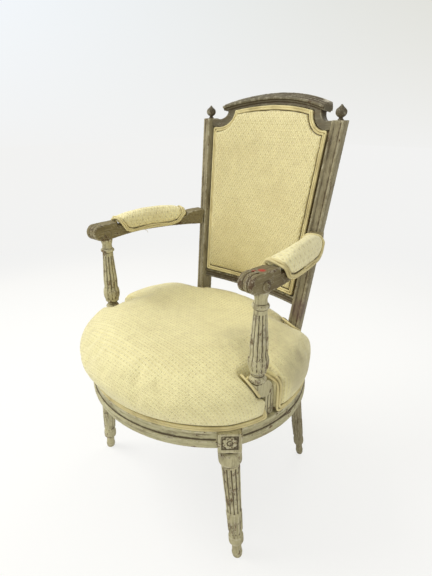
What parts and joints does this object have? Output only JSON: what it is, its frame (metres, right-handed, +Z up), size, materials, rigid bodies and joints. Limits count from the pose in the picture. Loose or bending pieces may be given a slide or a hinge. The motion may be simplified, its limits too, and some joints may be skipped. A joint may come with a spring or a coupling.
{
  "type": "armchair",
  "caption": "Painted open armchair with a round over-stuffed seat, a hollow hat-shaped padded back, padded scrolled arms and fluted tapering legs; the old paint is worn and flaking",
  "frame": {"origin": "on the floor, under the middle of the chair's bounding box", "axes": "+Z up; the chair faces -Y; +X is the sitter's left"},
  "size_m": [0.5598, 0.5718, 0.9577],
  "materials": {
    "painted_wood": "dry grey-green milk paint, flaked and rubbed through to brown wood in the recesses",
    "bare_beech": "bare aged beech",
    "brocade": "pale yellow woven cloth with small sprigs, soiled",
    "double_piping": "self-covered double cord, soiled",
    "jute": "jute webbing and hessian",
    "lining_cloth": "thin black cotton",
    "iron_screws": "rusted iron"
  },
  "bodies": {
    "root": {"front_left_leg": "painted_wood", "front_right_leg": "painted_wood", "rear_left_stile": "painted_wood", "rear_right_stile": "painted_wood", "front_seat_rail": "painted_wood", "left_seat_rail": "painted_wood", "right_seat_rail": "painted_wood", "rear_seat_rail": "painted_wood", "front_left_corner_block": "bare_beech", "front_right_corner_block": "bare_beech", "rear_left_corner_block": "bare_beech", "rear_right_corner_block": "bare_beech", "corner_block_screws": "iron_screws", "seat_frame_dowels": "bare_beech", "seat_webbing_lengthwise": "jute", "seat_webbing_crosswise": "jute", "seat_hessian": "jute", "seat_dust_cover": "lining_cloth", "seat_cushion": "brocade", "front_seat_welt": "double_piping", "left_seat_welt": "double_piping", "right_seat_welt": "double_piping", "rear_seat_welt": "double_piping", "top_rail": "painted_wood", "lower_back_rail": "painted_wood", "left_finial": "painted_wood", "right_finial": "painted_wood", "back_frame_dowels": "bare_beech", "back_pad": "brocade", "back_welt": "double_piping", "back_hessian": "jute", "outside_back_panel": "brocade", "left_arm": "painted_wood", "right_arm": "painted_wood", "left_arm_support": "painted_wood", "right_arm_support": "painted_wood", "left_arm_pad": "brocade", "right_arm_pad": "brocade", "left_arm_pad_welt": "double_piping", "right_arm_pad_welt": "double_piping"}
  },
  "joints": []
}
